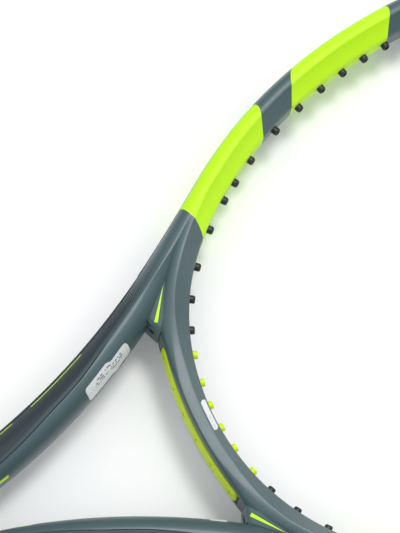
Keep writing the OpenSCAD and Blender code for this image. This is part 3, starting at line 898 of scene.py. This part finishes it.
def cap_mesh():
    """The butt cap: its flare as (growth, y), its neck, the door's seat and the staples' slots."""
    flare = [(-1.1, 0.0), (-0.55, 0.12), (-0.15, 0.45), (0.3, 1.2), (0.8, 2.4), (1.05, 4.2), (1.0, 6.2),
             (0.55, 8.2), (0.0, 9.8), (-0.75, 11.6), (-1.35, 13.4), (-1.72, 15.2), (-1.8, 15.9), (-2.1, 16.0)]
    rings = [level(GRIP_X + 2 + d, GRIP_Z + 2 + d, y, soft=2.4) for d, y in flare]
    rings += [level(15, 13, 16.1, soft=1.2), level(15, 13, 31.7, soft=1.2), level(14.8, 12.8, 32, soft=1.2)]
    body = swept(rings)
    cuts = [swept([level(14.1, 12.1, 2.6, soft=1.0), level(14.1, 12.1, 34, soft=1.0)]),
            swept([level(12.75, 10.95, -1, soft=1.6), level(12.75, 10.95, 1.5, soft=1.6)]),
            swept([level(11.2, 9.4, -1, soft=1.2), level(11.2, 9.4, 5, soft=1.2)])]
    m = combined(body, *[("DIFFERENCE", c) for c in cuts])
    for sign in (1, -1):
        z0, z1 = sign * 12.35, sign * 14.4
        slot_box = box_mesh((-4.8, 24.2, min(z0, z1)), (4.8, 25.8, max(z0, z1)))
        legs = joined([post(x, 25, sign * 10, sign * 14.4, 0.55) for x in (-4, 4)])
        m = combined(m, ("DIFFERENCE", slot_box), ("DIFFERENCE", legs))
    return m


def box_mesh(low, high):
    (x0, y0, z0), (x1, y1, z1) = low, high
    return swept([[(x0, y0, z0), (x1, y0, z0), (x1, y1, z0), (x0, y1, z0)],
                  [(x0, y0, z1), (x1, y0, z1), (x1, y1, z1), (x0, y1, z1)]])


def post(x, y, z0, z1, r, seg=16):
    t = np.radians(np.arange(seg) * 360 / seg)
    return swept([[(x + r * math.cos(a), y + r * math.sin(a), z) for a in t] for z in (z0, z1)])


def door_mesh():
    """The door: a plate with rings pressed into it, a notch for a finger nail and a skirt behind."""
    plate = swept([level(12.2, 10.4, 0), level(12.5, 10.7, 0.12),
                   level(12.6, 10.8, 0.4), level(12.6, 10.8, 1.4)])
    skirt = combined(swept([level(11.05, 9.25, 1.3, soft=1.2), level(11.05, 9.25, 4.9, soft=1.2),
                            level(10.8, 9.0, 5.4, soft=1.2)]),
                     ("DIFFERENCE", swept([level(9.8, 8.0, 1.4, soft=1.0), level(9.8, 8.0, 6, soft=1.0)])))

    def disc(radius, low, high, z=0.0):
        t = np.radians(np.arange(64) * 360 / 64)
        return swept([[(radius * math.cos(a), y, z + radius * math.sin(a)) for a in t] for y in (low, high)])

    cuts = [combined(disc(7.7, -0.5, 0.28), ("DIFFERENCE", disc(7.2, -1.5, 1.28))),
            combined(disc(6.1, -0.5, 0.28), ("DIFFERENCE", disc(5.6, -1.5, 1.28))),
            disc(2.1, -0.5, 0.28), disc(2.6, -0.6, 0.6, z=11.8)]
    return combined(plate, ("UNION", skirt), *[("DIFFERENCE", c) for c in cuts])


def wrap_mesh():
    """The grip tape wound round the handle: each turn laps a little over the one before."""
    pitch, y0, y1 = 22.0, 16.15, float(GRIP_TOP)
    ys = np.arange(y0, y1 + 0.01, 0.42)
    ys[-1] = y1
    around = octagon(GRIP_X, GRIP_Z, soft=2.6, per=7)
    inner = octagon(15.08, 13.08, soft=1.0, per=7)
    n = len(around)
    per = np.concatenate([[0], np.cumsum(np.linalg.norm(np.diff(around, axis=0), axis=1))])
    round_len = per[-1] + np.linalg.norm(around[0] - around[-1])
    frac = per[:n] / round_len
    normal = unit(around)
    rings, ws, ss = [], [], []
    for y in ys:
        w = (y - y0 + pitch * (1 - frac)) % pitch
        lift = 0.42 * np.exp(-((w - 1.4) / 0.9) ** 2) * (w > 0.0) - 0.28 * np.exp(-((w - 0.2) / 0.35) ** 2)
        lift -= 0.10 * np.exp(-((w - pitch) / 1.2) ** 2) + 0.05 * np.sin(w / pitch * math.pi)
        lift = lift - 0.45 * max(0.0, 1 - (y - y0) / 0.8) - 0.3 * max(0.0, 1 - (y1 - y) / 0.8)
        p = around + normal * (lift - 0.05)[:, None]
        rings.append(np.stack([p[:, 0], np.full(n, y), p[:, 1]], -1))
        ws.append(w)
        ss.append(frac * round_len + (y - y0) * 0.3)
    outer = np.array(rings)
    inside = np.array([np.stack([inner[:, 0], np.full(n, y), inner[:, 1]], -1) for y in (ys[-1], ys[0])])
    m = swept(np.concatenate([outer, inside]), closed=True)
    w = np.concatenate([np.array(ws).ravel(), np.full(2 * n, 9.0)])
    s = np.concatenate([np.array(ss).ravel(), np.zeros(2 * n)])
    store(m, wrap_w=w, wrap_s=s)
    return m


def sleeve(outer, inner):
    """A closed sleeve round the handle from (growth, y) outside and inside."""
    rings = [level(GRIP_X + d, GRIP_Z + d, y, soft=2.4) for d, y in [*outer, *inner]]
    return swept(np.array(rings), closed=True)


finished("cap_skin", cap_mesh(), "frame", cap_plastic, ("butt_cap",))
finished("door_skin", door_mesh(), "door", door_plastic, ("butt_door",))
finished("grip_wrap", wrap_mesh(), "frame", grip_cover, ("base_grip",), sharp=60)
tape_out = [(0.34, 174), (0.36, 174.2), (0.36, 185.8), (0.34, 186)]
finished("tape_ring", sleeve(tape_out, [(0.05, 186), (0.05, 174)]), "frame", tape_mat, ("finishing_tape",))
COLLAR_IN = 0.55
ridges = [(1.0, 180.0), (1.25, 180.25), (1.38, 180.8), (1.38, 182.2), (1.2, 182.8), (0.9, 183.1)]
for k in range(3):
    y = 183.9 + 2.6 * k
    ridges += [(0.9, y), (1.08, y + 0.45), (1.08, y + 1.25), (0.9, y + 1.7)]
ridges += [(0.9, 192.6), (1.2, 192.9), (1.38, 193.4), (1.36, 194.3), (1.15, 194.8), (0.8, 195.0)]
collar_out = [(COLLAR_IN + d, y) for d, y in ridges]
collar_in = [(COLLAR_IN + 0.12, 195.0), (COLLAR_IN, 194.7), (COLLAR_IN, 180.3), (COLLAR_IN + 0.12, 180.0)]
finished("collar_skin", sleeve(collar_out, collar_in), "collar", collar_rubber, ("grip_collar",))


# ---------------------------------------------------------------- labels
LABEL_LIFT, LABEL_SINK, LABEL_COLUMNS, NEAR = 0.30, 0.02, 13, 0.3


def label(s, skin, u_from, u_to, corner, name, node, kind, slant=0.0, flip=False):
    """A film patch on the skin along the stations, from one u to another (in half widths) across it."""
    gap = np.linalg.norm(np.diff(s.mid, axis=0), axis=-1)
    along = np.concatenate([[0], np.cumsum(gap)])
    long = along[-1]
    rows = []
    for i in range(s.n):
        u, z = (row[0] for row in skin(s.take(np.array([i]))))
        u, z = u[z > 0], z[z > 0]
        order = np.argsort(-u, kind="stable")
        u, z = u[order], z[order]
        path = np.concatenate([[0], np.cumsum(np.hypot(np.diff(u), np.diff(z)))])
        start, end = (path[np.argmin(abs(u - share * s.a[i]))] for share in (u_from, u_to))
        if not rows:
            wide = end - start
        rows.append((path, u, z, start))

    def on_skin(k, w):
        """The skin's point at width w of station k, and its way out."""
        path, u, z, start = rows[k]
        here, after, before = ([np.interp(start + at, path, u), np.interp(start + at, path, z)]
                               for at in (w, w + NEAR, w - NEAR))
        normal = unit(np.array([-(after[1] - before[1]), after[0] - before[0]]))
        return np.array(here), normal if normal @ np.array(here) > 0 else -normal

    rings, lu, lv = [], [], []
    for q in np.unique(np.concatenate([np.linspace(0, corner, 7), np.linspace(corner, long - corner, 24),
                                       np.linspace(long - corner, long, 7)])):
        inset = min(q, long - q)
        cut = corner - math.sqrt(max(0.0, corner**2 - (corner - inset) ** 2)) if inset < corner else 0.0
        cut = min(cut, wide / 2 - 0.05)
        v = np.linspace(cut, wide - cut, LABEL_COLUMNS)
        top, bottom = [], []
        for w in v:
            at = np.clip(q + slant * (w - wide / 2), 0, long)
            j = min(int(np.searchsorted(along, at, side="right")) - 1, s.n - 2)
            f = (at - along[j]) / max(1e-9, along[j + 1] - along[j])
            for lift, side in ((LABEL_LIFT, top), (LABEL_SINK, bottom)):
                ends = []
                for k in (j, j + 1):
                    point, normal = on_skin(k, w)
                    e = point + normal * lift
                    ends.append(np.array([*(s.mid[k] + s.out[k] * e[0]), e[1]]))
                side.append(mix(*ends, f))
        rings.append(top + bottom[::-1])
        lu.append([q] * (2 * LABEL_COLUMNS))
        lv.append([*v, *v[::-1]])
    rings = np.array(rings)
    if flip:
        rings = mirror_x(rings)
    m = swept(rings)
    count = rings.size // 3
    store(m, label_u=np.ravel(lu), label_v=np.ravel(lv), label_kind=np.full(count, kind),
          label_long=np.full(count, long))
    finished(name, m, "frame", label_film, (node,), sharp=50)


# The label's kinds: 0 has rows of blocks, 1 is plain and 2 has a line and a row of marks
label(shaft_stations(np.linspace(0.418, 0.530, 16)), upper, -0.54, -0.985, 1.7, "spec_film", "spec_label",
      0.0, flip=True)
label(shaft_stations(np.linspace(0.392, 0.424, 8)), upper, -0.84, -0.975, 0.9, "shaft_film", "shaft_label",
      1.0)
label(yoke_stations(np.linspace(-86.9, -93.3, 12)), yoke_upper, -0.22, -0.78, 0.25, "yoke_film", "yoke_label",
      2.0, slant=0.6)

# The parts whose CAD shape is right keep it, with materials of their own
for node, material in (("front_pallet", foam), ("rear_pallet", foam), ("butt_staples", steel),
                       ("balance_plugs", silicone)):
    for slot in bpy.data.objects[node].material_slots or [None]:
        if slot is None:
            bpy.data.objects[node].data.materials.append(material)
        else:
            slot.material = material

# ---------------------------------------------------------------- floor, light and camera
# The camera's own axes, and the point of the frame it looks at, in metres
MIDDLE = Vector((-0.0600, 0.3565, 0.0))
BACK = Vector((0.2468, -0.2368, 0.9397))
RIGHT = Vector((0.4343, 0.8939, 0.1112))
UP = Vector((-0.8663, 0.3807, 0.3235))
DISTANCE, SENSOR, FOCAL_IN_HEIGHTS = 1.0436, 36, 2540 / 533


def turned(x, y, z, at):
    r = Matrix((x, y, z)).transposed().to_4x4()
    r.translation = at
    return r


def floor():
    low = cad_box[0][2] - 0.0006
    b = bmesh.new()
    bmesh.ops.create_grid(b, x_segments=2, y_segments=2, size=12)
    bmesh.ops.translate(b, verts=b.verts, vec=(0, 0.35, low))
    m = bpy.data.meshes.new("floor_sheet")
    b.to_mesh(m)
    b.free()
    m.materials.append(floor_paper())
    o = solid("floor_sheet", m)


def lamp(name, way, to, size, energy, colour):
    """A square area lamp at 1.5 m along a way given in the camera's axes."""
    at = to + 1.5 * way
    data = bpy.data.lights.new(name, "AREA")
    data.shape, data.size, data.energy, data.color = "SQUARE", size, energy, colour
    o = bpy.data.objects.new(name, data)
    bpy.context.scene.collection.objects.link(o)
    o.location = at
    o.rotation_euler = (Vector(to) - Vector(at)).to_track_quat("-Z", "Y").to_euler()


floor()
bpy.context.scene.view_settings.view_transform = "Standard"
KEY, SIDE, SKY, HORIZON = 11, 1.4, 1.02, 0.04
lamp("key", UP * 0.60 + RIGHT * 0.24 + BACK * 0.78, MIDDLE, 0.42, KEY, (1.0, 0.99, 0.98))
lamp("side", UP * 0.05 - RIGHT * 0.90 + BACK * 0.45, MIDDLE, 0.7, SIDE, (0.97, 0.99, 1.0))


def studio_world():
    """A soft sky, bright overhead and dim near the horizon."""
    world = bpy.data.worlds.new("studio")
    world.use_nodes = True
    t = world.node_tree
    where = t.nodes.new("ShaderNodeTexCoord")
    split = t.nodes.new("ShaderNodeSeparateXYZ")
    t.links.new(where.outputs["Generated"], split.inputs[0])
    level = t.nodes.new("ShaderNodeMapRange")
    level.interpolation_type = "SMOOTHSTEP"
    level.inputs["From Min"].default_value, level.inputs["From Max"].default_value = 0.05, 0.85
    level.inputs["To Min"].default_value, level.inputs["To Max"].default_value = HORIZON, SKY
    t.links.new(split.outputs["Z"], level.inputs["Value"])
    sky = t.nodes["Background"]
    sky.inputs["Color"].default_value = (0.97, 0.985, 1.0, 1)
    t.links.new(level.outputs[0], sky.inputs["Strength"])
    bpy.context.scene.world = world


studio_world()

camera = bpy.data.cameras.new("camera")
camera.sensor_fit, camera.sensor_width, camera.lens = "AUTO", SENSOR, FOCAL_IN_HEIGHTS * SENSOR
camera.clip_start, camera.clip_end = 0.05, 60
eye = bpy.data.objects.new("camera", camera)
bpy.context.scene.collection.objects.link(eye)
eye.matrix_world = turned(RIGHT.normalized(), UP.normalized(), BACK.normalized(),
                          MIDDLE + BACK.normalized() * DISTANCE)
bpy.context.scene.camera = eye
